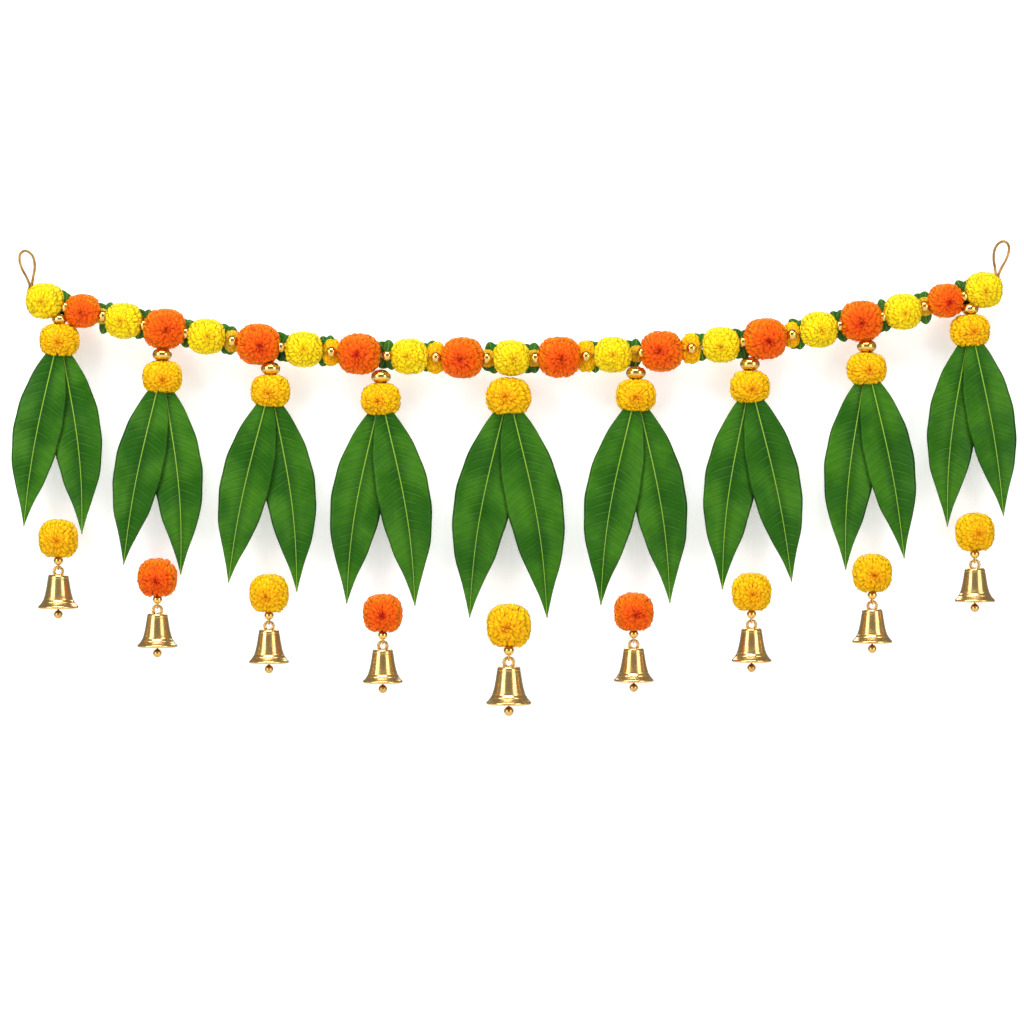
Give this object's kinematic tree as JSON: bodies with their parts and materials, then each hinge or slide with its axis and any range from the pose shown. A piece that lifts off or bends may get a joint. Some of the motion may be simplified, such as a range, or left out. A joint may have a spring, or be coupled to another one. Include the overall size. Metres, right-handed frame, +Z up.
{
  "type": "mango leaf door hanging",
  "caption": "Sagging marigold garland on a string with paired mango leaves, small blooms and swinging brass bells below, hung over a doorway by a cord loop at each end.",
  "frame": {"origin": "inside top of the left hanging loop, where it sits on its nail", "axes": "+X along the doorway from the left loop to the right loop, +Y from the viewer towards the wall, +Z up"},
  "size_m": [1.0024, 0.0452, 0.4764],
  "materials": {
    "lemon_petals": "ruffled petals, lemon yellow",
    "orange_petals": "ruffled petals, deep orange",
    "golden_petals": "ruffled petals, golden yellow",
    "mango_leaf": "waxy green leaf with pale veins",
    "bell_brass": "satin brass",
    "gold_beads": "shiny gold plating",
    "hanging_cord": "twisted gold cord"
  },
  "bodies": {
    "garland": {"left_hanging_loop": "hanging_cord", "right_hanging_loop": "hanging_cord", "garland_string": "gold_beads", "lemon_bloom_01": "lemon_petals", "orange_bloom_02": "orange_petals", "lemon_bloom_03": "lemon_petals", "orange_bloom_04": "orange_petals", "lemon_bloom_05": "lemon_petals", "orange_bloom_06": "orange_petals", "lemon_bloom_07": "lemon_petals", "orange_bloom_08": "orange_petals", "lemon_bloom_09": "lemon_petals", "orange_bloom_10": "orange_petals", "lemon_bloom_11": "lemon_petals", "orange_bloom_12": "orange_petals", "lemon_bloom_13": "lemon_petals", "orange_bloom_14": "orange_petals", "lemon_bloom_15": "lemon_petals", "orange_bloom_16": "orange_petals", "lemon_bloom_17": "lemon_petals", "orange_bloom_18": "orange_petals", "lemon_bloom_19": "lemon_petals", "orange_bloom_20": "orange_petals", "lemon_bloom_21": "lemon_petals", "strand_01": "golden_petals", "strand_02": "golden_petals", "strand_03": "golden_petals", "strand_04": "golden_petals", "strand_05": "golden_petals", "strand_06": "golden_petals", "strand_07": "golden_petals", "strand_08": "golden_petals", "strand_09": "golden_petals", "left_leaf_01": "mango_leaf", "left_leaf_02": "mango_leaf", "left_leaf_03": "mango_leaf", "left_leaf_04": "mango_leaf", "left_leaf_05": "mango_leaf", "left_leaf_06": "mango_leaf", "left_leaf_07": "mango_leaf", "left_leaf_08": "mango_leaf", "left_leaf_09": "mango_leaf", "right_leaf_01": "mango_leaf", "right_leaf_02": "mango_leaf", "right_leaf_03": "mango_leaf", "right_leaf_04": "mango_leaf", "right_leaf_05": "mango_leaf", "right_leaf_06": "mango_leaf", "right_leaf_07": "mango_leaf", "right_leaf_08": "mango_leaf", "right_leaf_09": "mango_leaf"},
    "swinging_bell_01": {"bell_01": "bell_brass"},
    "swinging_bell_02": {"bell_02": "bell_brass"},
    "swinging_bell_03": {"bell_03": "bell_brass"},
    "swinging_bell_04": {"bell_04": "bell_brass"},
    "swinging_bell_05": {"bell_05": "bell_brass"},
    "swinging_bell_06": {"bell_06": "bell_brass"},
    "swinging_bell_07": {"bell_07": "bell_brass"},
    "swinging_bell_08": {"bell_08": "bell_brass"},
    "swinging_bell_09": {"bell_09": "bell_brass"}
  },
  "joints": [
    {"name": "bell_01_swing", "type": "hinge", "parent": "garland", "child": "swinging_bell_01", "pos_m": [0.0331, 0, -0.31721], "axis": [0, 1, 0], "range_deg": [-35, 35]},
    {"name": "bell_02_swing", "type": "hinge", "parent": "garland", "child": "swinging_bell_02", "pos_m": [0.1322, 0, -0.356], "axis": [0, 1, 0], "range_deg": [-35, 35]},
    {"name": "bell_03_swing", "type": "hinge", "parent": "garland", "child": "swinging_bell_03", "pos_m": [0.2438, 0, -0.37197], "axis": [0, 1, 0], "range_deg": [-35, 35]},
    {"name": "bell_04_swing", "type": "hinge", "parent": "garland", "child": "swinging_bell_04", "pos_m": [0.3576, 0, -0.3917], "axis": [0, 1, 0], "range_deg": [-35, 35]},
    {"name": "bell_05_swing", "type": "hinge", "parent": "garland", "child": "swinging_bell_05", "pos_m": [0.4836, 0, -0.40815], "axis": [0, 1, 0], "range_deg": [-35, 35]},
    {"name": "bell_06_swing", "type": "hinge", "parent": "garland", "child": "swinging_bell_06", "pos_m": [0.6085, 0, -0.39048], "axis": [0, 1, 0], "range_deg": [-35, 35]},
    {"name": "bell_07_swing", "type": "hinge", "parent": "garland", "child": "swinging_bell_07", "pos_m": [0.7263, 0, -0.37071], "axis": [0, 1, 0], "range_deg": [-35, 35]},
    {"name": "bell_08_swing", "type": "hinge", "parent": "garland", "child": "swinging_bell_08", "pos_m": [0.847, 0, -0.35168], "axis": [0, 1, 0], "range_deg": [-35, 35]},
    {"name": "bell_09_swing", "type": "hinge", "parent": "garland", "child": "swinging_bell_09", "pos_m": [0.9496, 0, -0.31065], "axis": [0, 1, 0], "range_deg": [-35, 35]}
  ]
}
